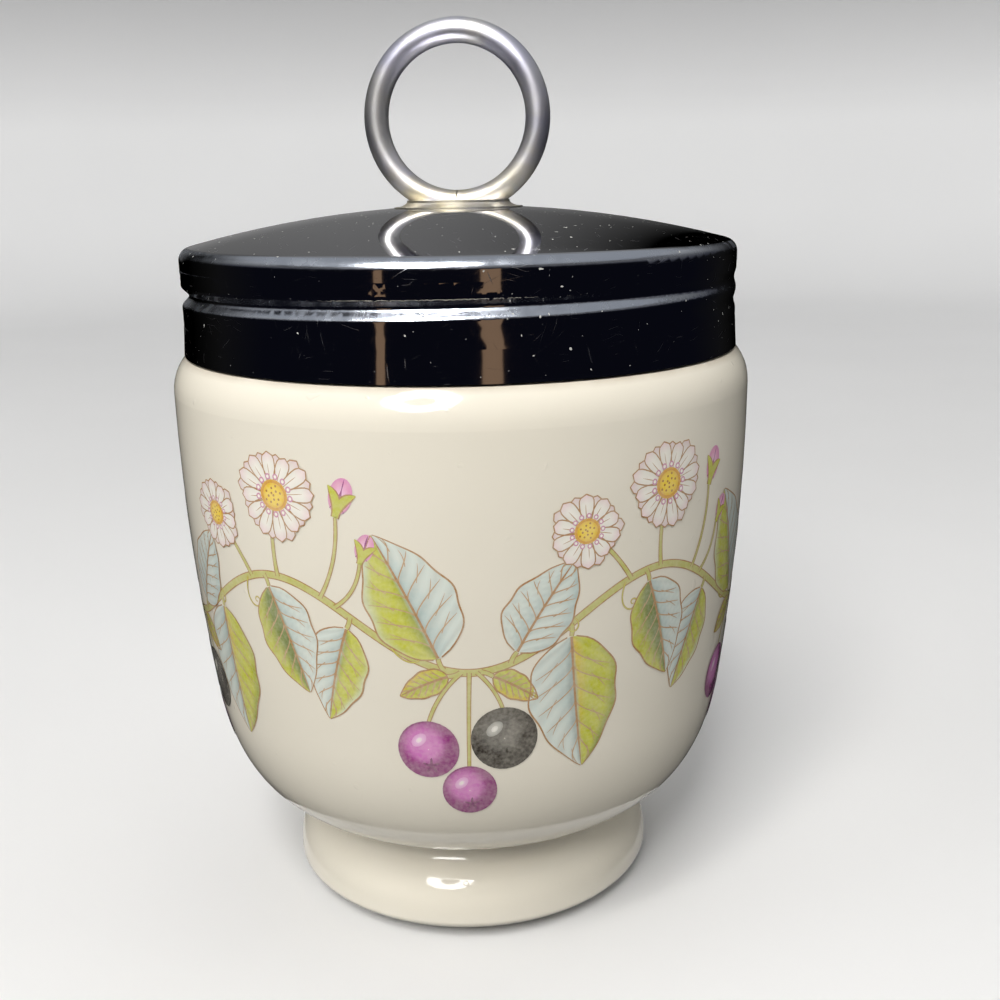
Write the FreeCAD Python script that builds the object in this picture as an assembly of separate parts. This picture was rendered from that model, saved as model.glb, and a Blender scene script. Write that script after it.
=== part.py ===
import FreeCAD, Part
import math
import os

# Porcelain egg coddler: a footed porcelain pot, a chromed sheet-metal lid that screws on by a
# rolled thread, and a finger ring to lift the pot out of hot water.  Millimetres, +Z up, origin
# on the pot's axis in the plane that its foot stands on.  The finger ring lies in the XZ plane.

# ---------------------------------------------------------------- porcelain foot
foot_r = 23.45              # widest radius of the foot
foot_wide_z = 2.6           # height of the widest place
foot_side_reach = 5.8       # pull of the side's upright tangent
foot_neck_reach = 3.1       # pull of the upright tangent under the bowl
foot_h = 10.9               # height of the joint between foot and bowl
foot_rest_r = 17.6          # outer radius of the resting face
foot_fullness = 0.42        # roundness of the turn from the side to the resting face
foot_recess_r = 15.4        # hollow under the foot
foot_sole_round = 0.8

# ---------------------------------------------------------------- porcelain bowl
joint_r = 19.6              # radius of the bowl's flat underside
bowl_r = 35.0               # widest radius, at the foot of the shoulder
hip_inset = 2.2             # how much narrower the bowl is at the hip
hip_z = 29.6
wall_mid_inset = 0.6
wall_mid_z = 46.0
shoulder_z = 65.0
shoulder_round = 6.0
shoulder_h = 4.1            # rise of the shoulder up to the flat ledge
under_slope = 27.4          # degrees, the bowl's underside above level
under_reach = 5.25          # pull of the underside's tangent
side_reach = 15.8           # pull of the wall's tangent at the hip
bowl_wall = 3.0
bowl_floor = 3.0            # floor thickness at the middle
floor_flat_r = 10.0         # flat part of the inside floor
floor_reach = 14.0          # pull of the inside floor's level tangent
inner_side_reach = 11.0     # pull of the inside wall's tangent at the hip
neck_step = 3.7             # from the bowl's widest radius in to the neck
neck_wall = 3.3
neck_round = 0.6            # fillet between ledge and neck
throat_drop = 9.0           # height over which the inside narrows to the neck

# ---------------------------------------------------------------- screw thread
pitch = 2.5
lid_bead_depth = 0.85       # the rolled groove, which is the bead inside
lid_bead_half = 1.2         # half width of the groove along the axis
lid_bead_start = 276.0      # degrees about +Z where the groove runs in
lid_bead_rise = 4.85        # groove's start above the skirt's lower edge
lid_run_in = 230.0          # degrees of turn
lid_full_end = 335.0
lid_bead_end = 500.0
neck_ridge_depth = 1.1
neck_ridge_half = 0.95
neck_ridge_first = 20.0     # degrees after the groove's start
neck_ridge_run = 60.0       # run-in and run-out of the porcelain ridge
neck_ridge_last = 490.0
thread_gap = 0.35           # radial gap between the porcelain ridge and the sheet metal
section_step = 0.4          # height between the sections of a threaded band
section_points = 36         # points round each section

# ---------------------------------------------------------------- lid
sheet = 0.5
skirt_gap = 0.25            # skirt's lower edge above the porcelain ledge
skirt_flare = 0.2           # the lower edge is wider than the top
lid_h = 16.4                # from the skirt's lower edge to the crown of the dome
dome_r = 127.0              # spherical radius of the top
lid_round = 1.5             # rounding between dome and skirt
rim_gap = 0.3               # lid above the porcelain rim
band_margin = 0.3           # plain metal above and below the threaded band
seam_step = 0.03            # step where a plain band meets the threaded band

# ---------------------------------------------------------------- finger ring and its base
ring_r = 9.75               # to the middle of the rod
ring_rod_r = 1.46
ring_seam = 0.12            # gap between the butted ends of the rod
ring_flat = 1.26            # how much of the rod is taken off where it is seated
ring_seat = 0.5             # depth of the ring's seat below the base's top
base_r = 6.2
base_h = 0.65               # top of the base above the crown of the dome
base_rim_h = 0.25           # upright edge above the flare
base_flare_r = 7.75
base_foot_h = 0.12          # upright edge of the flare on the dome
base_flare_sag = 0.18       # hollow of the flare
stud_r = 2.4
stud_gap = 0.12
stud_head_r = 3.8
stud_head_h = 1.1           # peened end under the washer
washer_r = 6.2
washer_t = 0.8
washer_gap = 0.12

Z_AXIS = FreeCAD.Vector(0, 0, 1)
ORIGIN = FreeCAD.Vector(0, 0, 0)

ledge_z = shoulder_z + shoulder_h
skirt_z = ledge_z + skirt_gap
lid_top_z = skirt_z + lid_h
dome_centre_z = lid_top_z - dome_r
base_top_z = lid_top_z + base_h
seat_z = base_top_z - ring_seat
ring_z = seat_z - ring_flat + ring_rod_r + ring_r
neck_root_r = bowl_r - neck_step
lid_r = neck_root_r + neck_ridge_depth + thread_gap + sheet


def point(radius, height):
    """A point of an outline: radius along +X, height along +Z."""
    return FreeCAD.Vector(radius, 0, height)


def line(start, end):
    return Part.LineSegment(start, end).toShape()


def arc(start, middle, end):
    return Part.Arc(start, middle, end).toShape()


def curve(*poles):
    """A Bezier edge over the given poles."""
    bezier = Part.BezierCurve()
    bezier.setPoles(list(poles))
    return bezier.toShape()


def turned(edges):
    """The solid made by turning a closed outline about the Z axis."""
    face = Part.Face(Part.Wire(edges))
    return face.revolve(ORIGIN, Z_AXIS, 360)


def round_corner(centre, radius, start_deg, end_deg):
    """An arc about a centre, with its two ends, from one direction to another."""
    ends = []
    for degrees in (start_deg, (start_deg + end_deg) / 2, end_deg):
        angle = math.radians(degrees)
        ends.append(centre + point(radius * math.cos(angle), radius * math.sin(angle)))
    return arc(*ends), ends[0], ends[2]


def smooth(value):
    """0 below 0, 1 above 1 and a smooth rise between."""
    clamped = min(1.0, max(0.0, value))
    return clamped * clamped * (3 - 2 * clamped)


def groove_height(turn_deg):
    """Height of the middle of the lid's groove, after so many degrees of turn."""
    return skirt_z + lid_bead_rise + pitch * turn_deg / 360


def thread_shape(direction, height, offset, half_width, strength):
    """How much of the full thread depth there is at a direction (degrees) and height (0 to 1).

    offset shifts the thread along the axis, and strength gives the share of the full depth
    after so many degrees of turn.
    """
    share = 0.0
    for turn in range(3):
        turn_deg = (direction - lid_bead_start) % 360 + 360 * turn
        away = (height - groove_height(turn_deg) - offset) / half_width
        if abs(away) < 1:
            share += strength(turn_deg) * math.cos(away * math.pi / 2) ** 2
    return share


def bead_strength(turn_deg):
    """The lid's groove deepens slowly, stays full and runs out."""
    run_in = smooth(turn_deg / lid_run_in)
    run_out = smooth((lid_bead_end - turn_deg) / (lid_bead_end - lid_full_end))
    return run_in * run_out


def ridge_strength(turn_deg):
    """The porcelain ridge is full between its two short run-outs."""
    run_in = smooth((turn_deg - neck_ridge_first) / neck_ridge_run)
    run_out = smooth((neck_ridge_last - turn_deg) / neck_ridge_run)
    return run_in * run_out


def threaded_solid(bottom, top, radius_at):
    """A solid through level sections whose radius depends on direction and height."""
    count = max(2, math.ceil((top - bottom) / section_step))
    wires = []
    for level in range(count + 1):
        height = bottom + (top - bottom) * level / count
        places = []
        for step in range(section_points):
            direction = 360 * step / section_points
            angle = math.radians(direction)
            radius = radius_at(direction, height)
            places.append(FreeCAD.Vector(radius * math.cos(angle), radius * math.sin(angle), height))
        ring = Part.BSplineCurve()
        ring.interpolate(Points=places, PeriodicFlag=True)
        wires.append(Part.Wire(ring.toShape()))
    return Part.makeLoft(wires, True, False)


# ---------------------------------------------------------------- porcelain
def make_foot():
    joint_out = point(joint_r, foot_h)
    joint_in = point(foot_recess_r, foot_h)
    widest = point(foot_r, foot_wide_z)
    rest = point(foot_rest_r, 0)
    neck_pull = joint_out - point(0, foot_neck_reach)
    side_pull = widest + point(0, foot_side_reach)
    under_pull = widest - point(0, foot_wide_z * foot_fullness)
    rest_pull = rest + point((foot_r - foot_rest_r) * foot_fullness, 0)
    sole_centre = point(foot_recess_r + foot_sole_round, foot_sole_round)
    sole, sole_start, sole_end = round_corner(sole_centre, foot_sole_round, 180, 270)
    return turned([
        line(sole_end, rest),
        curve(rest, rest_pull, under_pull, widest),
        curve(widest, side_pull, neck_pull, joint_out),
        line(joint_out, joint_in),
        line(joint_in, sole_start),
        sole,
    ])


def rim_crest_z():
    """Top of the porcelain rim, a set gap under the inside of the dome."""
    return dome_height(neck_root_r - neck_wall / 2, sheet) - rim_gap


def make_bowl():
    rim_round = neck_wall / 2
    rim_side_z = rim_crest_z() - rim_round
    mouth_r = neck_root_r - neck_wall
    slope = math.radians(under_slope)
    joint = point(joint_r, foot_h)
    hip = point(bowl_r - hip_inset, hip_z)
    wall_mid = point(bowl_r - wall_mid_inset, wall_mid_z)
    wall_top = point(bowl_r, shoulder_z)
    wall_dir = (wall_mid - hip).normalize()
    under_pull = joint + point(math.cos(slope), math.sin(slope)) * under_reach
    hip_pull = hip - wall_dir * side_reach
    turn = math.degrees(math.asin(shoulder_h / shoulder_round))
    shoulder_centre = point(bowl_r - shoulder_round, shoulder_z)
    shoulder, _, shoulder_end = round_corner(shoulder_centre, shoulder_round, 0, turn)
    neck_corner = point(neck_root_r + neck_round, ledge_z + neck_round)
    neck_fillet, neck_foot, neck_side = round_corner(neck_corner, neck_round, 270, 180)
    rim_centre = point(neck_root_r - rim_round, rim_side_z)
    rim, rim_outer, rim_inner = round_corner(rim_centre, rim_round, 0, 180)
    throat = point(mouth_r, ledge_z)
    inner_top = point(wall_mid.x - bowl_wall, ledge_z - throat_drop)
    inner_hip = point(hip.x - bowl_wall, hip_z + bowl_wall / 3)
    inner_dir = (inner_top - inner_hip).normalize()
    floor = point(floor_flat_r, foot_h + bowl_floor)
    floor_pull = floor + point(floor_reach, 0)
    inner_hip_pull = inner_hip - inner_dir * inner_side_reach
    throat_pull = throat_drop * 0.45
    centre_top = point(0, foot_h + bowl_floor)
    centre_bottom = point(0, foot_h)
    plain = turned([
        line(centre_bottom, joint),
        curve(joint, under_pull, hip_pull, hip),
        arc(hip, wall_mid, wall_top),
        shoulder,
        line(shoulder_end, neck_foot),
        neck_fillet,
        line(neck_side, rim_outer),
        rim,
        line(rim_inner, throat),
        curve(throat, throat - point(0, throat_pull), inner_top + inner_dir * throat_pull, inner_top),
        line(inner_top, inner_hip),
        curve(inner_hip, inner_hip_pull, floor_pull, floor),
        line(floor, centre_top),
        line(centre_top, centre_bottom),
    ])
    return thread_neck(plain, neck_side.z, rim_side_z, mouth_r)


def thread_neck(plain, lowest, highest, mouth_r):
    """The bowl with a stretch of its neck exchanged for one with the porcelain ridge.

    The ridge runs half a pitch above the lid's groove.
    """
    bottom = max(lowest, groove_height(neck_ridge_first) + pitch / 2 - neck_ridge_half - band_margin)
    top = min(highest, groove_height(neck_ridge_last) + pitch / 2 + neck_ridge_half + band_margin)

    def radius_at(direction, height):
        share = thread_shape(direction, height, pitch / 2, neck_ridge_half, ridge_strength)
        return neck_root_r + seam_step + neck_ridge_depth * share

    stretch = Part.makeCylinder(bowl_r, top - bottom, point(0, bottom), Z_AXIS)
    mouth = Part.makeCylinder(mouth_r, top - bottom, point(0, bottom), Z_AXIS)
    return plain.cut(stretch).fuse(threaded_solid(bottom, top, radius_at).cut(mouth))


# ---------------------------------------------------------------- lid
def dome_height(radius, inset=0):
    """Height of the dome's outer face, or of one under it, at a radius."""
    return dome_centre_z + math.sqrt((dome_r - inset) ** 2 - radius ** 2)


def dome_arc(start_r, end_r, inset=0):
    """An arc of the dome between two radii, with its first end."""
    places = []
    for radius in (start_r, (start_r + end_r) / 2, end_r):
        places.append(point(radius, dome_height(radius, inset)))
    return arc(*places), places[0]


def dome_outline(inset):
    """Dome arc and rounded corner at a depth under the outer face, from the axis outwards."""
    corner = lid_round - inset
    corner_r = lid_r - lid_round
    corner_z = dome_centre_z + math.sqrt((dome_r - lid_round) ** 2 - corner_r ** 2)
    centre = point(corner_r, corner_z)
    lean = math.degrees(math.atan2(corner_z - dome_centre_z, corner_r))
    rounding, wall_top, dome_end = round_corner(centre, corner, 0, lean)
    dome, hole = dome_arc(stud_r + stud_gap, dome_end.x, inset)
    return dome, rounding, hole, wall_top


def make_lid():
    band_bottom = groove_height(0) - lid_bead_half - band_margin
    band_top = groove_height(lid_bead_end) + lid_bead_half + band_margin
    outer_dome, outer_corner, outer_hole, outer_wall = dome_outline(0)
    inner_dome, inner_corner, inner_hole, inner_wall = dome_outline(sheet)
    outer_low = point(lid_r, band_top)
    inner_low = point(lid_r - sheet, band_top)
    cap = turned([
        outer_dome,
        outer_corner,
        line(outer_wall, outer_low),
        line(outer_low, inner_low),
        line(inner_low, inner_wall),
        inner_corner,
        inner_dome,
        line(inner_hole, outer_hole),
    ])

    def outer_radius(direction, height):
        share = thread_shape(direction, height, 0, lid_bead_half, bead_strength)
        return lid_r - seam_step - lid_bead_depth * share

    def inner_radius(direction, height):
        return outer_radius(direction, height) - sheet + 2 * seam_step

    outer_band = threaded_solid(band_bottom, band_top, outer_radius)
    band = outer_band.cut(threaded_solid(band_bottom, band_top, inner_radius))
    edge_r = lid_r + skirt_flare
    skirt = turned([
        line(point(lid_r, band_bottom), point(edge_r, skirt_z)),
        line(point(edge_r, skirt_z), point(edge_r - sheet, skirt_z)),
        line(point(edge_r - sheet, skirt_z), point(lid_r - sheet, band_bottom)),
        line(point(lid_r - sheet, band_bottom), point(lid_r, band_bottom)),
    ])
    return cap.fuse([band, skirt])


# ---------------------------------------------------------------- finger ring
def seated_ring():
    """A round ring whose lowest part is flattened to sit in the base."""
    ring = Part.makeTorus(ring_r, ring_rod_r, point(0, ring_z), FreeCAD.Vector(0, 1, 0))
    outer_r = ring_r + ring_rod_r
    corner = FreeCAD.Vector(-outer_r, -ring_rod_r, seat_z - ring_flat)
    return ring.cut(Part.makeBox(2 * outer_r, 2 * ring_rod_r, ring_flat, corner))


def make_ring():
    """The ring is a bent rod, whose butted ends leave a fine seam over the base."""
    corner = FreeCAD.Vector(-ring_seam / 2, -ring_rod_r, seat_z - ring_flat)
    return seated_ring().cut(Part.makeBox(ring_seam, 2 * ring_rod_r, ring_r, corner))


def make_ring_base():
    """A low drum with a flared foot on the dome and a stud that is peened over a washer."""
    under, stud_top = dome_arc(stud_r, base_flare_r)
    flare_foot = point(base_flare_r, dome_height(base_flare_r))
    flare_edge = flare_foot + point(0, base_foot_h)
    rim_low = point(base_r, base_top_z - base_rim_h)
    flare = flare_edge - rim_low
    flare_normal = point(-flare.z, flare.x).normalize()
    flare_middle = (flare_edge + rim_low) / 2 - flare_normal * base_flare_sag
    rim_high = point(base_r, base_top_z)
    top_centre = point(0, base_top_z)
    head_z = washer_top() - washer_t - washer_gap
    head_edge = point(stud_head_r, head_z)
    head_end = point(0, head_z - stud_head_h)
    head_sphere = (stud_head_r ** 2 + stud_head_h ** 2) / (2 * stud_head_h)
    middle_r = stud_head_r / 2
    head_rise = head_sphere - math.sqrt(head_sphere ** 2 - middle_r ** 2)
    body = turned([
        line(top_centre, rim_high),
        line(rim_high, rim_low),
        arc(rim_low, flare_middle, flare_edge),
        line(flare_edge, flare_foot),
        under,
        line(stud_top, point(stud_r, head_z)),
        line(point(stud_r, head_z), head_edge),
        arc(head_edge, head_end + point(middle_r, head_rise), head_end),
        line(head_end, top_centre),
    ])
    return body.cut(seated_ring())


def washer_top():
    """Upper face of the washer, just under the sheet at the washer's edge."""
    return dome_height(washer_r, sheet) - washer_gap


def make_washer():
    bottom = washer_top() - washer_t
    disc = Part.makeCylinder(washer_r, washer_t, point(0, bottom), Z_AXIS)
    hole = Part.makeCylinder(stud_r + stud_gap, washer_t, point(0, bottom), Z_AXIS)
    return disc.cut(hole)


def main():
    nodes = {
        "foot_ring": make_foot(),
        "pot_bowl": make_bowl(),
        "lid_cap": make_lid(),
        "finger_ring": make_ring(),
        "ring_base": make_ring_base(),
        "stud_washer": make_washer(),
    }
    os.makedirs("parts", exist_ok=True)
    for name, shape in nodes.items():
        shape.exportStep("parts/" + name + ".step")
        solids = len(shape.Solids)
        print(name, "solids", solids, "valid", shape.isValid(), "volume", round(shape.Volume, 1))


main()
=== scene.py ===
import math
import random

import bpy
import numpy as np
from mathutils import Matrix, Vector
from mathutils.bvhtree import BVHTree


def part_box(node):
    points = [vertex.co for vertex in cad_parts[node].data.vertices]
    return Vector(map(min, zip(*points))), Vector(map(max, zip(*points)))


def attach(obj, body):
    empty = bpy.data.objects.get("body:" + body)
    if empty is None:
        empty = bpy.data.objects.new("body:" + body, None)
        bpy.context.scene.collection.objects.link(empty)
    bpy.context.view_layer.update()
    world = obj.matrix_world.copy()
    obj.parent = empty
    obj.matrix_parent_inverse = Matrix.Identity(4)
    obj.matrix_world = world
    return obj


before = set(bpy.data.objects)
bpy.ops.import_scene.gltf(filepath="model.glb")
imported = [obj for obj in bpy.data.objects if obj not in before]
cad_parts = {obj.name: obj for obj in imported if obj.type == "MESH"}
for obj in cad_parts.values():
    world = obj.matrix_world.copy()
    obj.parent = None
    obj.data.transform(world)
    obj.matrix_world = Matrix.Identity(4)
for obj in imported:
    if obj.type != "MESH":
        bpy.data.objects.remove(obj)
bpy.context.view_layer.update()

# Porcelain egg coddler: porcelain pot and foot, chromed screw lid with a finger ring, and a
# garland printed on the glaze. Metres, in the CAD model's frame. The garland is drawn in
# millimetres on the pot's unrolled wall and wrapped round it.

MM = 0.001
MIDDLE = Vector((0, 0, 0.05))          # the lamps point here

# ---------------------------------------------------------------- the view
LENS_SHARE = 1.185                     # focal length over the sensor's width
CAMERA_PLACE = Vector((28.2, -144.9, 88.2)) * MM
CAMERA_HEADING = math.radians(99.3)    # level direction of the view, from +X towards +Y
CAMERA_PITCH = math.radians(-14.95)
CAMERA_ROLL = math.radians(-0.97)

# ---------------------------------------------------------------- the floor and the backdrop
FLOOR_REACH = 0.75                     # flat floor round the object
WALL_REACH = 1.1                       # the backdrop stands here
WALL_TOP = 0.75
PAPER = (0.78, 0.78, 0.78)
PAPER_CLOUD = (0.76, 0.76, 0.76)
PAPER_HIGH = (0.17, 0.17, 0.18)        # the paper at the backdrop's top
PAPER_BOUNCE = (0.3, 0.3, 0.3)         # what it throws back on the object
BACKDROP_FADE = (0.14, 0.42)           # the backdrop turns from pale to grey between these heights
BACKDROP_GLOW = 0.3
BACKDROP_GLOW_REACH = (0.2, 0.95)      # it starts and is full at these distances from the object
BACKDROP_HIGH_GLOW = 0.1               # its share that is left at the backdrop's top

# ---------------------------------------------------------------- the lamps
RING_LAMP_TURN = math.radians(17.8)    # the ring lamp stands this far left of the camera
RING_LAMP_RISE = math.radians(46)
RING_LAMP_DISTANCE = 0.9
RING_LAMP_HOLE = 0.08
RING_LAMP_RADIUS = 0.2
RING_LAMP_STRETCH = 1.6                # its height over its width
RING_LAMP_POWER = 16.3
RING_LAMP_COLOUR = (1, 0.985, 0.96)
SOFT_LAMP_DISTANCE = 0.9
# name, heading and rise in degrees, side in metres, watts
SOFT_LAMPS = (
    ("top_lamp", 60, 75, 0.7, 2.0),
    ("left_lamp", 205, 35, 0.5, 1.5),
    ("right_lamp", 0, 30, 0.4, 1.0),
)
BACK_LAMP = ("back_lamp", 95, 22, 0.9, 4.6)
BACK_GLINT = ("back_glint", 125, 42, 0.16, 1.2)
WORLD_COLOUR = (0.93, 0.96, 1.0, 1)
WORLD_LIGHT = 0.14
CEILING = 0.28                         # the dim ceiling that gloss sees

# ---------------------------------------------------------------- what gloss sees round the object
CARD_R = 0.34                          # a dark card
CARD_TOP = 0.34
CARD_FRONT_TOP = 0.2                   # lower in front, where it would hide the ring lamp
CARD_TURN = math.radians(12)           # the card is brightest this far left of straight behind
CARD_BACK = 0.88                       # the grey starts this share of the card's radius behind
CARD_GREY = (0.07, 0.09, 0.15)         # heights: black below the first, palest at the second
CARD_GLOW = 0.26
CARD_HIGH_GLOW = 0.65                  # share of the glow that is left at the third height
CARD_FRONT = (0.4, 0.8)                # the front's glow fades out between these shares
CARD_FRONT_RISE = 0.4 * CARD_TOP       # and grows from this height up
CARD_FRONT_DARK = 0.008
CARD_FRONT_GLOW = 0.34
CARD_NAVY = (0.45, 0.5, 1.0)           # the faint colour of the card in front
CARD_NAVY_FADE = (0.3 * CARD_TOP, 0.6 * CARD_TOP)   # it turns white between these heights
CARD_NAVY_REACH = 0.5 * CARD_R         # and is white from this far behind
CARD_RIM_RISE = 0.7 * CARD_TOP         # the rim glows like the ceiling from this height up
CARD_RIM_GLOW = 0.8 * CEILING
STRIP_R = 0.97 * CARD_R                # just inside the card
STRIP_TOP = 0.14
STRIP_GLOW = 0.26
STRIP_COLOUR = (1.0, 0.64, 0.4)
# name, degrees to the right of the camera, width
STRIPS = (
    ("left_strip", -28, 0.018),
    ("right_strip", 12.5, 0.042),
)

# ---------------------------------------------------------------- the garland
REPEATS = 5                            # waves of the stem round the pot
WALL_R = 35.0                          # mm, radius at which the wall is unrolled
GARLAND_Z = 44.0                       # mm, height of the stem's middle
GARLAND_TURN = math.radians(281)       # a trough of the stem faces this way
GARLAND_SEED = 7
WAVE_RISE = 4.6                        # mm, swing of the stem above and below its middle
PRINT_LIFT = 0.03                      # mm, the lowest ink above the glaze
LAYER_LIFT = 0.005                     # mm between one layer of ink and the next
CELL = 0.55                            # mm, cells of the patches of ink


# ================================================================ meshes
def mesh_object(name, points, faces):
    """A new smooth object from points and faces."""
    mesh = bpy.data.meshes.new(name)
    mesh.from_pydata([tuple(p) for p in points], [], faces)
    mesh.polygons.foreach_set("use_smooth", [True] * len(mesh.polygons))
    mesh.update()
    piece = bpy.data.objects.new(name, mesh)
    bpy.context.scene.collection.objects.link(piece)
    return piece


def lathe(name, outline, segments):
    """A surface of revolution about +Z from (radius, height) pairs."""
    points = []
    for radius, height in outline:
        for step in range(segments):
            angle = math.tau * step / segments
            points.append((radius * math.cos(angle), radius * math.sin(angle), height))
    faces = []
    for row in range(len(outline) - 1):
        below = row * segments
        above = below + segments
        for step in range(segments):
            after = (step + 1) % segments
            faces.append((below + step, below + after, above + after, above + step))
    return mesh_object(name, points, faces)


# ================================================================ materials
class Finish:
    """A node material with a Principled shader, and short calls for its nodes."""

    def __init__(self, name, **values):
        self.material = bpy.data.materials.new(name)
        self.material.use_nodes = True
        self.tree = self.material.node_tree
        self.shader = self.tree.nodes["Principled BSDF"]
        for socket, value in values.items():
            self.shader.inputs[socket.replace("_", " ")].default_value = value
        self.place = self.node("TexCoord").outputs["Object"]
        self.height = self.node("SeparateXYZ", _0=self.place).outputs[2]

    def node(self, kind, settings=None, **inputs):
        """A node, with values or links for its inputs by name, or by number after a low dash."""
        made = self.tree.nodes.new("ShaderNode" + kind)
        for key, value in (settings or {}).items():
            setattr(made, key, value)
        for key, value in inputs.items():
            socket = made.inputs[int(key[1:]) if key[0] == "_" else key.replace("_", " ")]
            if isinstance(value, bpy.types.NodeSocket):
                self.tree.links.new(value, socket)
            else:
                socket.default_value = value
        return made

    def spot(self, turn=(0, 0, 0), offset=0.0):
        """The place, turned and shifted."""
        made = self.node("Mapping", Vector=self.place, Location=(offset,) * 3, Rotation=turn)
        return made.outputs[0]

    def noise(self, scale, detail=2.0, offset=0.0):
        """Noise from 0 to 1 at a scale in waves per metre."""
        place = self.spot(offset=offset)
        return self.node("TexNoise", Vector=place, Scale=scale, Detail=detail).outputs[0]

    def between(self, value, low, high, to_low=0.0, to_high=1.0):
        """The value mapped from one range to another, and held inside it."""
        return self.node(
            "MapRange", Value=value, From_Min=low, From_Max=high, To_Min=to_low, To_Max=to_high
        ).outputs[0]

    def mix(self, share, first, second):
        """A colour between two, by a share."""
        made = self.node("Mix", {"data_type": "RGBA"}, _0=share)
        for index, value in ((6, first), (7, second)):
            if isinstance(value, bpy.types.NodeSocket):
                self.tree.links.new(value, made.inputs[index])
            else:
                made.inputs[index].default_value = (*value, 1)
        return made.outputs[2]

    def math(self, operation, first, second):
        """The two values after a Math node's operation."""
        return self.node("Math", {"operation": operation}, _0=first, _1=second).outputs[0]

    def bump(self, height, distance):
        """A bump of so many metres where the height goes from 0 to 1."""
        made = self.node("Bump", Height=height, Distance=distance, Strength=1.0)
        self.tree.links.new(made.outputs[0], self.shader.inputs["Normal"])

    def set(self, socket, value):
        """Links a value to the shader."""
        self.tree.links.new(value, self.shader.inputs[socket])


GLAZE = (0.80, 0.753, 0.645)
GLAZE_SHADE = (0.775, 0.728, 0.62)
BARE_CLAY = (0.70, 0.655, 0.57)
# brown of the metal rub under the lid, also painted shade along the porcelain just below the lid's
# edge
RUB_AND_SHADE_BROWN = (0.30, 0.20, 0.12)
BARE_HEIGHTS = (0.0002, 0.0007)        # the glaze is left off below these
RUB_AND_SHADE_DROP = (0.00095, 0.00035)          # the brown rub and painted shade start and are full this far below the lid
LID_PLATE = (0.60, 0.60, 0.62)
# painted highlight: the plate's colour where the lid turns upwards, brighter and bluer than the
# rest
LID_EDGE_HIGHLIGHT = (0.80, 0.85, 0.95)
DUST = (0.62, 0.62, 0.58)
RING_PLATE = (0.93, 0.92, 0.91)
RING_FILM = (0.80, 0.80, 0.94)
RING_NICKEL = (0.82, 0.76, 0.60)
WEAR_RISE = (0.0076, 0.0006)           # the wear starts and is full this far above the ring's base
STEEL = (0.42, 0.42, 0.41, 1)


def glaze_surface(finish):
    """Gloss, slow waves and small pimples of a glaze; returns where the glaze is left off."""
    bare = finish.between(finish.height, *BARE_HEIGHTS, 1, 0)
    gloss = finish.between(finish.noise(300, 2), 0.3, 0.7, 0.05, 0.1)
    finish.set("Roughness", finish.math("MAXIMUM", gloss, finish.math("MULTIPLY", bare, 0.6)))
    waves = finish.noise(70, 1.5)
    pimples = finish.between(finish.noise(800, 0, offset=3.1), 0.82, 0.87)
    finish.bump(finish.math("ADD", waves, finish.math("MULTIPLY", pimples, 0.6)), 0.00004)
    return bare


def porcelain_finish():
    """Ivory porcelain under a clear glaze, bare where it rests, rubbed brown under the lid, with
    painted shade in the same brown just below the lid's edge.
    """
    finish = Finish("porcelain", IOR=1.5)
    bare = glaze_surface(finish)
    clouds = finish.between(finish.noise(45, 3), 0.3, 0.7)
    colour = finish.mix(clouds, GLAZE, GLAZE_SHADE)
    lid_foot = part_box("lid_cap")[0].z
    # painted shade: a patchy brown band just below the lid's lower edge (the worn patches break it
    # up), going on as metal rub up the neck under the lid
    rub_and_shade = finish.between(finish.height, *(lid_foot - drop for drop in RUB_AND_SHADE_DROP), 0, 0.3)
    worn = finish.between(finish.noise(240, 3, offset=2.2), 0.3, 0.6, 0.45, 1)
    colour = finish.mix(finish.math("MULTIPLY", rub_and_shade, worn), colour, RUB_AND_SHADE_BROWN)
    finish.set("Base Color", finish.mix(bare, colour, BARE_CLAY))
    return finish.material


def ink_finish():
    """Printed colours under the same gloss as the glaze, with the fine grain of the print."""
    finish = Finish("print_ink", IOR=1.5)
    glaze_surface(finish)
    ink_colour = finish.node("Attribute", {"attribute_name": "ink"}).outputs["Color"]
    grain = finish.between(finish.noise(2600, 2), 0.3, 0.7, 0.0, 0.16)
    wash = finish.between(finish.noise(420, 3, offset=1.3), 0.3, 0.7, 0.0, 0.2)
    colour = finish.mix(grain, ink_colour, GLAZE)
    finish.set("Base Color", finish.mix(wash, colour, GLAZE))
    return finish.material


SCRATCH_TURNS = (
    (0.3, 0.2, 0.5),
    (1.2, 0.4, 2.0),
    (0.7, 1.3, 1.1),
    (2.2, 0.6, 0.2),
    (1.6, 0.9, 1.5),
)


def scratches(finish):
    """Short fine scratches in several directions, as lines broken up by noise, from 0 to 1."""
    found = 0.0
    for number, turn in enumerate(SCRATCH_TURNS):
        offset = 1.7 * number
        wave = finish.node(
            "TexWave", {"wave_type": "BANDS"}, Vector=finish.spot(turn=turn, offset=offset),
            Scale=210 + 70 * number, Distortion=9.0, Detail=2.0, Detail_Scale=0.4,
        ).outputs["Fac"]
        broken = finish.between(finish.noise(330, 1, offset=offset), 0.6, 0.72)
        lines = finish.math("MULTIPLY", finish.between(wave, 0.985, 1.0), broken)
        found = finish.math("MAXIMUM", found, lines)
    return found


def specks(finish):
    """Dust and pits, thicker in some places, from 0 to 1."""
    crowd = finish.between(finish.noise(70, 2, offset=6.1), 0.45, 0.65, 0, 0.05)
    return finish.between(finish.math("ADD", finish.noise(2300, 0, offset=5.3), crowd), 0.855, 0.88)


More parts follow.
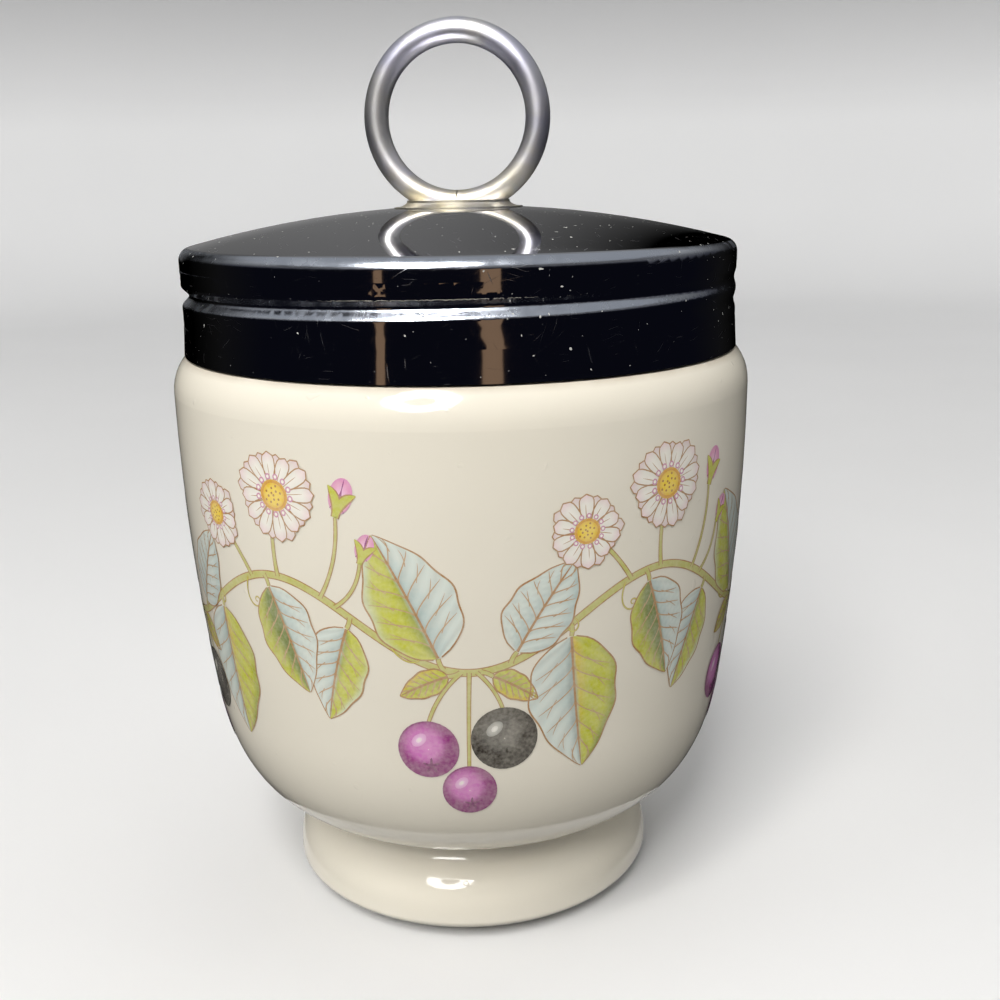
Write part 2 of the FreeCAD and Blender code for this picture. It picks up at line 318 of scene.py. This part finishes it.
def lid_finish():
    """Polished chrome plate with scratches and dust, rubbed to a haze where it turns upwards, and
    painted brighter and bluer there as a painted highlight.
    """
    finish = Finish("lid_chrome")
    rise = finish.node("SeparateXYZ", _0=finish.node("NewGeometry").outputs["Normal"]).outputs[2]
    level = finish.between(rise, 0.86, 0.95, 1, 0)
    edge = finish.math("MULTIPLY", finish.between(rise, 0.1, 0.4), level)
    patchy = finish.between(finish.noise(500, 4, offset=2.9), 0.35, 0.65, 0.17, 0.3)
    polish = finish.between(finish.noise(90, 4), 0.35, 0.7, 0.03, 0.08)
    dust = specks(finish)
    rough = finish.math("MAXIMUM", polish, finish.math("MULTIPLY", edge, patchy))
    rough = finish.math("MAXIMUM", rough, finish.math("MULTIPLY", scratches(finish), 0.35))
    finish.set("Roughness", finish.math("MAXIMUM", rough, finish.math("MULTIPLY", dust, 0.8)))
    # painted highlight: the upturned rounds get a brighter, bluer plate on top of their haze
    plate = finish.mix(edge, LID_PLATE, LID_EDGE_HIGHLIGHT)
    finish.set("Base Color", finish.mix(dust, plate, DUST))
    finish.set("Metallic", finish.between(dust, 0, 1, 1, 0.3))
    finish.bump(finish.noise(35, 1), 0.00002)
    return finish.material


def ring_finish():
    """Satin chrome plate with a faint film of colour, worn to yellow nickel towards the lid."""
    finish = Finish("ring_chrome", Metallic=1.0)
    satin = finish.between(finish.noise(220, 4), 0.3, 0.7, 0.37, 0.47)
    rough = finish.math("MAXIMUM", satin, finish.math("MULTIPLY", scratches(finish), 0.45))
    finish.set("Roughness", rough)
    film = finish.between(finish.noise(130, 3, offset=3.3), 0.4, 0.6)
    plate = finish.mix(film, RING_PLATE, RING_FILM)
    patches = finish.between(finish.noise(260, 3, offset=0.7), 0.35, 0.6, 0.2, 1)
    base_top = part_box("ring_base")[1].z
    low = finish.between(finish.height, *(base_top + rise for rise in WEAR_RISE))
    wear = finish.math("MULTIPLY", low, patches)
    finish.set("Base Color", finish.mix(wear, plate, RING_NICKEL))
    finish.bump(finish.noise(900, 2), 0.000012)
    return finish.material


def steel_finish():
    """Dull plated steel with a fine grain."""
    finish = Finish("washer_steel", Metallic=1.0, Base_Color=STEEL)
    finish.set("Roughness", finish.between(finish.noise(900, 3), 0.3, 0.7, 0.3, 0.5))
    finish.bump(finish.noise(1500, 2), 0.00001)
    return finish.material


def dress(node, material):
    """Gives a CAD node its material."""
    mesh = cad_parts[node].data
    mesh.materials.clear()
    mesh.materials.append(material)


# ================================================================ the printed garland
def ink(red, green, blue):
    """A screen colour, each part from 0 to 255, as the linear colour of a material."""
    share = np.array((red, green, blue)) / 255
    return np.where(share < 0.04045, share / 12.92, ((share + 0.055) / 1.055) ** 2.4)


LINE = ink(172, 126, 74)
VEIN = ink(186, 150, 108)
STEM = ink(190, 188, 106)
COOL = ink(214, 224, 217)
COOL_DEEP = ink(172, 194, 192)
LIME = ink(200, 202, 66)
OLIVE = ink(118, 134, 62)
GOLD = ink(226, 186, 48)
PETAL = ink(243, 239, 230)
PETAL_SHADE = ink(206, 200, 188)
BLUSH = ink(226, 156, 190)
YELLOW = ink(238, 206, 54)
ORANGE = ink(206, 134, 36)
PINK = ink(206, 112, 188)
PINK_DEEP = ink(152, 60, 130)
PINK_LIGHT = ink(242, 204, 234)
BLACK = ink(40, 32, 28)
GREY = ink(96, 93, 88)
GREY_LIGHT = ink(212, 210, 202)


def way_of(angle):
    """A unit step in a direction on the unrolled wall."""
    return np.array((math.cos(angle), math.sin(angle)))


def left_of(way):
    """The step turned a quarter to the left."""
    return np.array((-way[1], way[0]))


def blend_inks(share, inks):
    """A colour along a row of colours."""
    place = min(max(share, 0.0), 1.0) * (len(inks) - 1)
    index = min(int(place), len(inks) - 2)
    return inks[index] + (inks[index + 1] - inks[index]) * (place - index)


def bow(start, end, sag, steps=14):
    """A line between two points, bowed to its left by sag."""
    start = np.asarray(start, float)
    run = np.asarray(end, float) - start
    side = left_of(run) / np.linalg.norm(run)
    share = np.linspace(0, 1, steps)[:, None]
    return start + run * share + side * sag * 4 * share * (1 - share)


class Print:
    """Patches of ink on the unrolled wall, in mm across and up, each point with its colour."""

    def __init__(self):
        self.points = []
        self.inks = []
        self.faces = []

    def patch(self, rows, inks, layer, closed=False):
        """A grid of points, row by row, as a patch that faces outwards."""
        start = len(self.points)
        wide = len(rows[0])
        for row, row_inks in zip(rows, inks):
            for place, tint in zip(row, row_inks):
                self.points.append((place[0], place[1], PRINT_LIFT + LAYER_LIFT * layer))
                self.inks.append(tint)
        for row in range(len(rows) - 1):
            for column in range(wide if closed else wide - 1):
                after = (column + 1) % wide
                low = start + row * wide
                high = low + wide
                face = (low + column, low + after, high + after, high + column)
                self.faces.append(face if self.turns_left(face) else face[::-1])

    def turns_left(self, face):
        """Whether a face of four corners turns left, and so faces outwards."""
        first, second, third, fourth = (self.points[index] for index in face)
        cross = (third[0] - first[0]) * (fourth[1] - second[1])
        return cross > (third[1] - first[1]) * (fourth[0] - second[0])

    def stroke(self, line, width, tint, layer, ends=(1.0, 1.0)):
        """A line of ink, whose width at its two ends is a share of the width in the middle."""
        line = np.asarray(line, float)
        way = np.gradient(line, axis=0)
        way /= np.linalg.norm(way, axis=1)[:, None] + 1e-9
        side = np.stack([-way[:, 1], way[:, 0]], 1)
        share = np.linspace(0, 1, len(line))
        taper = (1 - share) * ends[0] + share * ends[1]
        half = width / 2 * (taper + (1 - taper) * 4 * share * (1 - share))
        rows = zip(line + side * half[:, None], line - side * half[:, None])
        self.patch(list(rows), [(tint, tint)] * len(line), layer)

    def disc(self, centre, radius, inks, layer, squeeze=1.0, turn=0.0, light=None):
        """A round patch, with its colours from the middle out, and darker away from a light."""
        rings = max(2, math.ceil(radius / CELL))
        spokes = min(32, int(8 + radius * 9))
        rows = []
        row_inks = []
        for ring in range(rings, -1, -1):
            share = max(ring / rings, 0.02)
            row = []
            tints = []
            for spoke in range(spokes):
                angle = math.tau * spoke / spokes
                step = share * radius * way_of(angle) * (1, squeeze)
                row.append(centre + step[0] * way_of(turn) + step[1] * left_of(way_of(turn)))
                gloom = 0.0 if light is None else 0.4 * share * (1 - math.cos(angle - light))
                tints.append(blend_inks(share * 0.7 + gloom, inks))
            rows.append(row)
            row_inks.append(tints)
        self.patch(rows, row_inks, layer, closed=True)


def leaf(draw, foot, heading, length, width, curl, layer, halves):
    """A smooth pointed leaf whose halves differ, with its rib, veins and outline."""
    run = way_of(heading)
    side = left_of(run)

    def at(along, across):
        half = width / 2 * along ** 0.6 * (1 - along) ** 0.9 / 0.364
        ripple = 1 + 0.04 * math.sin(along * 21 + across * 2)
        drift = curl * length * along ** 2
        return foot + run * length * along + side * (drift + across * half * ripple)

    rows = []
    row_inks = []
    count = max(8, math.ceil(length / CELL))
    wide = 2 * math.ceil(width / 2 / CELL)
    for step in range(count + 1):
        along = min(max(step / count, 0.005), 0.995)
        row = []
        tints = []
        for column in range(wide + 1):
            across = 2 * column / wide - 1
            row.append(at(along, across))
            tone = blend_inks(abs(across) * 0.75 + 0.25 * along, halves[across > 0])
            fold = 0.92 + 0.08 * math.cos((along - 0.25 * abs(across)) * 46)
            tints.append(tone * fold * (0.8 if abs(across) < 0.1 else 1.0))
        rows.append(row)
        row_inks.append(tints)
    draw.patch(rows, row_inks, layer)
    fine = np.linspace(0.004, 0.996, count + 6)
    steps = np.linspace(0, 1, 10)
    for way in (-1, 1):
        draw.stroke([at(along, way) for along in fine], 0.2, LINE, layer + 2, (0.8, 0.5))
        for vein in range(6):
            start = 0.08 + 0.135 * vein
            line = [at(start + 0.19 * s ** 0.8, way * 0.9 * s ** 1.15) for s in steps]
            draw.stroke(line, 0.14, VEIN, layer + 1, (1.2, 0.3))
            fork = [at(start + 0.09 + 0.13 * s, way * (0.4 + 0.36 * s)) for s in steps]
            draw.stroke(fork, 0.1, VEIN, layer + 1, (1.0, 0.2))
    draw.stroke([at(along, 0) for along in fine], 0.26, LINE, layer + 2, (1.3, 0.2))


def petal(draw, centre, radius, broad, heading, squash, layer, shade):
    """One narrow petal with a blushing tip."""
    run = way_of(heading) * (1, squash)
    side = left_of(way_of(heading)) * (1, squash)

    def at(along, across):
        tip = max(0.0, 1 - max(0.0, (along - 0.78) / 0.22) ** 2) ** 0.5
        half = broad * (0.4 + 0.6 * math.sin(math.pi * along / 1.4)) * max(tip, 0.02)
        return centre + run * radius * (0.2 + 0.8 * along) + side * across * half

    steps = np.linspace(0, 1, 10)
    lanes = np.linspace(-1, 1, 5)
    rows = [[at(along, across) for across in lanes] for along in steps]
    row_inks = []
    for along in steps:
        tone = blend_inks(along, (PETAL_SHADE, PETAL, PETAL, PETAL * 0.6 + BLUSH * 0.4)) * shade
        row_inks.append([tone * (1 - 0.09 * abs(across)) for across in lanes])
    draw.patch(rows, row_inks, layer)
    edge = [at(along, -1) for along in steps] + [at(along, 1) for along in steps[::-1]]
    draw.stroke(edge, 0.14, LINE, layer + 0.3)
    draw.stroke([at(along, 0.15) for along in steps[1:7]], 0.09, VEIN, layer + 0.3, (1, 0.2))


def daisy(draw, centre, radius, petals, turn, layer, squash):
    """A daisy with two rings of petals round a stippled yellow middle."""
    broad = 0.6 * math.pi * radius / petals
    for ring in (0, 1):
        for number in range(petals):
            heading = turn + math.tau * (number + ring / 2) / petals
            reach = radius * (1 - 0.04 * ((number * 7 + ring * 3) % 4))
            level = layer + ring * 1.5 + number / petals
            petal(draw, centre, reach, broad, heading, squash, level, 0.9 + 0.1 * ring)
    heart = radius * 0.27
    draw.disc(centre, heart * 1.25, (ORANGE, ORANGE, YELLOW), layer + 3, squash)
    draw.disc(centre, heart, (YELLOW * 1.05, YELLOW, ORANGE), layer + 3.5, squash)
    for number in range(13):
        angle = turn + math.tau * number / 13
        rim = centre + heart * 1.5 * way_of(angle) * (1, squash)
        draw.disc(rim, radius * 0.066, (BLUSH * 0.8, BLUSH * 0.8), layer + 4)
        draw.disc(rim, radius * 0.035, (PETAL, PETAL), layer + 4.5)
        seed = centre + heart * 0.85 * math.sqrt(number / 13) * way_of(number * 2.4) * (1, squash)
        draw.disc(seed, radius * 0.026, (ORANGE * 0.7, ORANGE * 0.7), layer + 4.5)


def berry(draw, centre, radius, inks, layer):
    """A smooth round berry, lit from the upper left, with a small crown under it."""
    deep, middle, light = inks
    draw.disc(centre, radius, (middle * 1.15, middle, middle, deep, deep * 0.8), layer, light=2.2)
    rim = [centre + radius * way_of(angle) for angle in np.linspace(0, math.tau, 34)]
    draw.stroke(rim, 0.2, deep * 0.8, layer + 1)
    glint = centre + radius * way_of(2.3) * 0.45
    shine = (light, light * 0.6 + middle * 0.4, middle)
    draw.disc(glint, radius * 0.3, shine, layer + 1, 0.65, 0.75)
    draw.disc(glint, radius * 0.12, (PETAL, light), layer + 2, 0.7, 0.75)
    crown = centre + radius * np.array((0.08, -0.6))
    for number in range(5):
        tip = crown + radius * 0.3 * way_of(math.tau * number / 5 + 0.3)
        draw.stroke(bow(crown, tip, 0.03, 5), 0.3, deep * 0.6, layer + 2, (1.4, 0.2))


def bud(draw, foot, heading, size, layer):
    """A closed pink bud between green sepals."""
    run = way_of(heading)
    side = left_of(run)
    centre = foot + run * size * 0.75
    draw.disc(centre, size * 0.62, (PINK_LIGHT, BLUSH, PINK), layer, 0.66, heading)
    for turn in (-0.25, 0.0, 0.25):
        start = centre - run * size * 0.5 + side * turn * size
        line = bow(start, centre + run * size * 0.58, -turn * 1.2, 8)
        draw.stroke(line, 0.1, PINK_DEEP, layer + 1, (1, 0.3))
    for way in (-1, 1):
        line = bow(foot, foot + run * size * 0.95 + side * way * size * 0.5, -way * size * 0.16, 9)
        draw.stroke(line, size * 0.38, LINE, layer + 1.5, (0.8, 0.1))
        draw.stroke(line, size * 0.26, LIME * 0.9, layer + 2, (0.8, 0.1))


def stalk(draw, start, end, sag, width, layer):
    """A thin bowed stem."""
    line = bow(start, end, sag, 18)
    draw.stroke(line, width + 0.2, LINE, layer, (1.2, 0.9))
    draw.stroke(line, width, STEM, layer + 0.5, (1.2, 0.9))


def tendril(draw, start, heading, size, way, layer):
    """A thin shoot that winds up."""
    place = np.array(start)
    line = [place]
    for step in range(34):
        place = place + way_of(heading) * size * 0.075 * (1 - step / 46)
        heading += way * 0.035 * (1 + step * 0.42)
        line.append(place)
    draw.stroke(line, 0.2, LINE * 1.1, layer, (1.3, 0.4))
    draw.stroke(line, 0.1, LIME, layer + 0.5, (1.3, 0.4))


PALE_GREEN = ((COOL_DEEP, COOL, COOL), (OLIVE, LIME, LIME, COOL))
GREEN_PALE = ((OLIVE, OLIVE, LIME * 0.9, LIME), (COOL_DEEP, COOL, COOL))
PALE_GOLD = ((COOL_DEEP * 0.95, COOL, COOL), (GOLD, LIME, LIME, OLIVE))
PALE_PALE = ((COOL, COOL, COOL_DEEP), (COOL_DEEP, COOL, COOL))
LIME_GOLD = ((LIME, LIME, GOLD), (OLIVE, LIME, LIME))
# mm from the trough along the stem, heading in degrees, length, width, curl, colours of the halves
LEAVES = (
    (-2.8, 114, 15.5, 10.2, 0.06, PALE_GREEN),
    (4.4, 60, 12.0, 7.8, -0.08, PALE_PALE),
    (11.0, -86, 16.5, 10.8, 0.05, PALE_GOLD),
    (20.3, -64, 12.5, 8.0, -0.06, GREEN_PALE),
    (31.2, -112, 12.0, 7.4, 0.08, PALE_GREEN),
    (-1.0, -158, 6.2, 3.2, 0.12, LIME_GOLD),
    (1.2, -24, 5.6, 3.0, -0.12, LIME_GOLD),
)
# mm from the trough, and down from it, radius, colours
BERRIES = (
    (-4.6, -9.0, 3.4, (PINK_DEEP, PINK, PINK_LIGHT)),
    (3.6, -8.4, 3.7, (BLACK, GREY, GREY_LIGHT)),
    (-0.4, -14.4, 3.1, (PINK_DEEP, PINK, PINK_LIGHT)),
)
# mm from the crest, and up from it, radius, petals
DAISIES = (
    (1.0, 9.0, 5.4, 12),
    (-9.4, 5.4, 4.4, 10),
)
# mm from the crest, and up from it, size
BUDS = (
    (8.4, 7.4, 3.2),
    (10.8, 2.6, 2.5),
)


def draw_garland(draw):
    """A waving stem with daisies over its crests, and leaves and berries below."""
    random.seed(GARLAND_SEED)
    wave = math.tau * WALL_R / REPEATS

    def stem(across):
        return np.array((across, -WAVE_RISE * math.cos(math.tau * across / wave)))

    for repeat in range(REPEATS):
        trough = repeat * wave
        crest = trough + wave / 2
        line = [stem(trough + step) for step in np.linspace(0, wave, 90)]
        draw.stroke(line, 0.95, LINE, 0)
        draw.stroke(line, 0.7, STEM, 0.5)
        for number, (across, turn, length, width, curl, halves) in enumerate(LEAVES):
            heading = math.radians(turn + random.uniform(-5, 5))
            size = random.uniform(0.94, 1.06)
            start = stem(trough + across)
            foot = start + 1.4 * way_of(heading)
            stalk(draw, start, foot, 0.1, 0.4, 1)
            layer = 2 + 3 * (number % 2)
            leaf(draw, foot, heading, length * size, width * size, curl, layer, halves)
        for across, up, radius, inks in BERRIES:
            shift = (random.uniform(-0.4, 0.4), random.uniform(-0.4, 0.4))
            centre = stem(trough) + (across + shift[0], up + shift[1])
            tip = centre + (0, radius * 0.8)
            stalk(draw, stem(trough + across * 0.2), tip, across * 0.12, 0.3, 1)
            berry(draw, centre, radius, inks, 8)
        for across, up, radius, petals in DAISIES:
            centre = stem(crest) + (across, up)
            stalk(draw, stem(crest + across * 0.4), centre, across * 0.08 + 0.4, 0.36, 1)
            daisy(draw, centre, radius, petals, random.uniform(0, 1), 8, 0.93)
        for across, up, size in BUDS:
            foot = stem(crest) + (across, up)
            stalk(draw, stem(crest + across * 0.7), foot, -0.7, 0.28, 1)
            bud(draw, foot, math.radians(random.uniform(50, 75)), size, 4)
        tendril(draw, stem(trough + 8.2), 1.2, 5.0, -1, 1)
        tendril(draw, stem(crest - 4.5), -1.9, 4.2, 1, 1)
        tendril(draw, stem(crest + 13.5), -1.0, 4.4, 1, 1)


def wall_profile():
    """Heights on the pot's wall, with the radius at each and the distance along the wall, in mm."""
    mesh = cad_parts["pot_bowl"].data
    tree = BVHTree.FromPolygons([v.co for v in mesh.vertices], [p.vertices for p in mesh.polygons])
    heights = np.linspace(14, 64.5, 102)
    radii = []
    for height in heights:
        reach = 0.0
        for step in range(12):
            way = Vector((math.cos(step), math.sin(step), 0))
            hit = tree.ray_cast(way * 0.1 + Vector((0, 0, height * MM)), -way)[0]
            reach = max(reach, hit.xy.length / MM)
        radii.append(reach)
    steps = np.hypot(np.diff(radii), np.diff(heights))
    along = np.concatenate([[0], np.cumsum(steps)])
    return heights, np.array(radii), along - np.interp(GARLAND_Z, heights, along)


def printed_garland():
    """The garland wrapped round the pot, as thin patches of ink just above the glaze."""
    draw = Print()
    draw_garland(draw)
    heights, radii, along = wall_profile()
    across, up, lift = np.array(draw.points).T
    height = np.interp(up, along, heights)
    radius = np.interp(up, along, radii)
    lean = np.polynomial.Polynomial.fit(heights, radii, 9).deriv()(height)
    level = 1 / np.hypot(1, lean)
    angle = GARLAND_TURN + across / WALL_R
    normals = np.stack([level * np.cos(angle), level * np.sin(angle), -lean * level], 1)
    places = np.stack([radius * np.cos(angle), radius * np.sin(angle), height], 1)
    places = (places + normals * lift[:, None]) * MM
    piece = mesh_object("printed_garland", places, draw.faces)
    mesh = piece.data
    mesh.normals_split_custom_set_from_vertices(normals.tolist())
    tints = mesh.color_attributes.new("ink", "FLOAT_COLOR", "POINT")
    tints.data.foreach_set("color", np.column_stack([draw.inks, np.ones(len(draw.inks))]).ravel())
    mesh.materials.append(ink_finish())
    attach(piece, "pot")
    return piece


# ================================================================ the studio
def level_way(heading):
    """A level unit step in a direction."""
    return Vector((math.cos(heading), math.sin(heading), 0))


def from_direction(heading, rise, distance):
    """A place at a distance from the object's middle, by heading and rise."""
    level = math.cos(rise)
    way = Vector((math.cos(heading) * level, math.sin(heading) * level, math.sin(rise)))
    return MIDDLE + way * distance


def aim(thing):
    """Points a lamp at the object."""
    thing.rotation_euler = (MIDDLE - thing.location).to_track_quat("-Z", "Y").to_euler()


def studio_floor():
    """A pale floor that turns up into a round backdrop, which is greyer higher up.

    Camera and gloss see it as pale paper. It throws less light back on the object.
    """
    corner = WALL_REACH - FLOOR_REACH
    outline = [(FLOOR_REACH * share, 0) for share in (0.001, 0.1, 0.25, 0.5, 0.75, 1)]
    for step in range(1, 17):
        angle = math.pi / 2 * step / 16
        outline.append((FLOOR_REACH + corner * math.sin(angle), corner * (1 - math.cos(angle))))
    outline.append((WALL_REACH, WALL_TOP))
    floor = lathe("studio_floor", outline, 96)
    finish = Finish("studio_paper", Roughness=0.9, Specular_IOR_Level=0.1)
    clouds = finish.between(finish.noise(9, 2), 0.3, 0.7)
    paper = finish.mix(clouds, PAPER, PAPER_CLOUD)
    rise = finish.between(finish.height, *BACKDROP_FADE)
    rays = finish.node("LightPath").outputs
    seen = finish.math("MAXIMUM", rays["Is Camera Ray"], rays["Is Glossy Ray"])
    seen = finish.math("MAXIMUM", seen, rays["Is Transmission Ray"])
    paper = finish.mix(rise, paper, PAPER_HIGH)
    finish.set("Base Color", finish.mix(seen, PAPER_BOUNCE, paper))
    away = finish.node("VectorMath", {"operation": "LENGTH"}, _0=finish.place).outputs["Value"]
    fade = finish.between(rise, 0, 1, 1, BACKDROP_HIGH_GLOW)
    glow = finish.math("MULTIPLY", finish.between(away, *BACKDROP_GLOW_REACH), fade)
    glow = finish.math("MULTIPLY", glow, BACKDROP_GLOW)
    finish.set("Emission Strength", finish.math("MULTIPLY", glow, seen))
    finish.shader.inputs["Emission Color"].default_value = (1, 1, 1, 1)
    floor.data.materials.append(finish.material)


def ring_lamp():
    """A tall ring lamp above the camera, which shows in the glaze."""
    lamp = lathe("ring_lamp", [(RING_LAMP_HOLE, 0), (RING_LAMP_RADIUS, 0)], 64)
    heading = CAMERA_HEADING + math.pi - RING_LAMP_TURN
    lamp.location = from_direction(heading, RING_LAMP_RISE, RING_LAMP_DISTANCE)
    aim(lamp)
    lamp.scale.y = RING_LAMP_STRETCH
    lamp.data.materials.append(glow_finish("lamp_glow", RING_LAMP_COLOUR, RING_LAMP_POWER).material)
    lamp.visible_camera = False


def soft_lamp(name, heading_deg, rise_deg, size, power, lit=None, in_gloss=False):
    """A square soft lamp, which lights everything, or only the given pieces."""
    data = bpy.data.lights.new(name, "AREA")
    data.shape = "SQUARE"
    data.size = size
    data.energy = power
    lamp = bpy.data.objects.new(name, data)
    bpy.context.scene.collection.objects.link(lamp)
    heading = math.radians(heading_deg)
    lamp.location = from_direction(heading, math.radians(rise_deg), SOFT_LAMP_DISTANCE)
    aim(lamp)
    lamp.visible_camera = False
    lamp.visible_glossy = in_gloss
    if lit:
        pieces = bpy.data.collections.new("lit_by_" + name)
        for piece in lit:
            pieces.objects.link(piece)
        lamp.light_linking.receiver_collection = pieces


def show_to_gloss(card, material):
    """A card of the studio that only gloss sees."""
    card.data.materials.append(material)
    for ray in ("camera", "diffuse", "shadow", "transmission"):
        setattr(card, "visible_" + ray, False)


def glow_finish(name, colour, strength):
    """A black surface that glows."""
    black = (0, 0, 0, 1)
    finish = Finish(name, Base_Color=black, Specular_IOR_Level=0.0, Emission_Strength=strength)
    finish.shader.inputs["Emission Color"].default_value = (*colour, 1)
    return finish


def dark_card():
    """A dark card under and round the object, grey behind it and above, and lower in front."""
    card = lathe("dark_card", [(0.03, 0.0005), (CARD_R, 0.0005), (CARD_R, CARD_TOP)], 96)
    glow = glow_finish("card", (1, 1, 1), 1.0)
    way = level_way(CAMERA_HEADING + CARD_TURN)
    dot = glow.node("VectorMath", {"operation": "DOT_PRODUCT"}, _0=glow.place, _1=way)
    back = dot.outputs["Value"]
    low, full, high = CARD_GREY
    rise = glow.between(glow.height, low, full, 0, CARD_GLOW)
    rise = glow.math("MULTIPLY", rise, glow.between(glow.height, full, high, 1, CARD_HIGH_GLOW))
    grey = glow.math("MULTIPLY", glow.between(back, CARD_BACK * CARD_R, CARD_R), rise)
    front = glow.between(
        glow.height, CARD_FRONT_RISE, CARD_TOP, CARD_FRONT_DARK, CARD_FRONT_GLOW
    )
    fade = glow.between(back, *(share * CARD_R for share in CARD_FRONT), 1, 0)
    front = glow.math("MULTIPLY", front, fade)
    rim = glow.between(glow.height, CARD_RIM_RISE, CARD_TOP, 0, CARD_RIM_GLOW)
    glow.set("Emission Strength", glow.math("MAXIMUM", glow.math("ADD", grey, front), rim))
    pale = glow.between(glow.height, *CARD_NAVY_FADE)
    pale = glow.math("MAXIMUM", pale, glow.between(back, 0, CARD_NAVY_REACH))
    glow.set("Emission Color", glow.mix(pale, CARD_NAVY, (1, 1, 1)))
    for vertex in card.data.vertices:
        if vertex.co.dot(way) < 0:
            vertex.co.z = min(vertex.co.z, CARD_FRONT_TOP)
    show_to_gloss(card, glow.material)


def strip_card(name, turn_deg, width):
    """An upright warm strip on the camera's side, which the lid's skirt shows."""
    heading = CAMERA_HEADING + math.pi + math.radians(turn_deg)
    place = STRIP_R * level_way(heading)
    side = width / 2 * level_way(heading + math.pi / 2)
    up = Vector((0, 0, STRIP_TOP))
    corners = (place - side, place + side, place + side + up, place - side + up)
    strip = mesh_object(name, corners, [(0, 1, 2, 3)])
    show_to_gloss(strip, glow_finish(name, STRIP_COLOUR, STRIP_GLOW).material)


def world_light():
    """A dim cool light from everywhere, which gloss sees as a brighter ceiling."""
    world = bpy.data.worlds.new("studio")
    bpy.context.scene.world = world
    world.use_nodes = True
    tree = world.node_tree
    background = tree.nodes["Background"]
    background.inputs["Color"].default_value = WORLD_COLOUR
    rays = tree.nodes.new("ShaderNodeLightPath").outputs
    ceiling = tree.nodes.new("ShaderNodeMapRange")
    ceiling.inputs["To Min"].default_value = WORLD_LIGHT
    ceiling.inputs["To Max"].default_value = CEILING
    tree.links.new(rays["Is Glossy Ray"], ceiling.inputs["Value"])
    tree.links.new(ceiling.outputs[0], background.inputs["Strength"])


def camera():
    """The camera, at the chosen view."""
    data = bpy.data.cameras.new("camera")
    data.sensor_width = 36
    data.lens = data.sensor_width * LENS_SHARE
    data.clip_start = 0.005
    made = bpy.data.objects.new("camera", data)
    bpy.context.scene.collection.objects.link(made)
    turn = Matrix.Rotation(CAMERA_HEADING - math.pi / 2, 4, "Z")
    tilt = Matrix.Rotation(math.pi / 2 + CAMERA_PITCH, 4, "X")
    roll = Matrix.Rotation(CAMERA_ROLL, 4, "Z")
    made.matrix_world = Matrix.Translation(CAMERA_PLACE) @ turn @ tilt @ roll
    bpy.context.scene.camera = made


porcelain = porcelain_finish()
dress("foot_ring", porcelain)
dress("pot_bowl", porcelain)
dress("lid_cap", lid_finish())
ring_chrome = ring_finish()
dress("finger_ring", ring_chrome)
dress("ring_base", ring_chrome)
dress("stud_washer", steel_finish())
garland = printed_garland()

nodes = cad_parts
studio_floor()
ring_lamp()
for lamp_values in SOFT_LAMPS:
    soft_lamp(*lamp_values)
soft_lamp(*BACK_LAMP, lit=[*nodes.values(), garland])
soft_lamp(*BACK_GLINT, lit=[nodes["foot_ring"], nodes["pot_bowl"], garland], in_gloss=True)
dark_card()
for strip_values in STRIPS:
    strip_card(*strip_values)
world_light()
camera()
bpy.context.scene.view_settings.view_transform = "Standard"
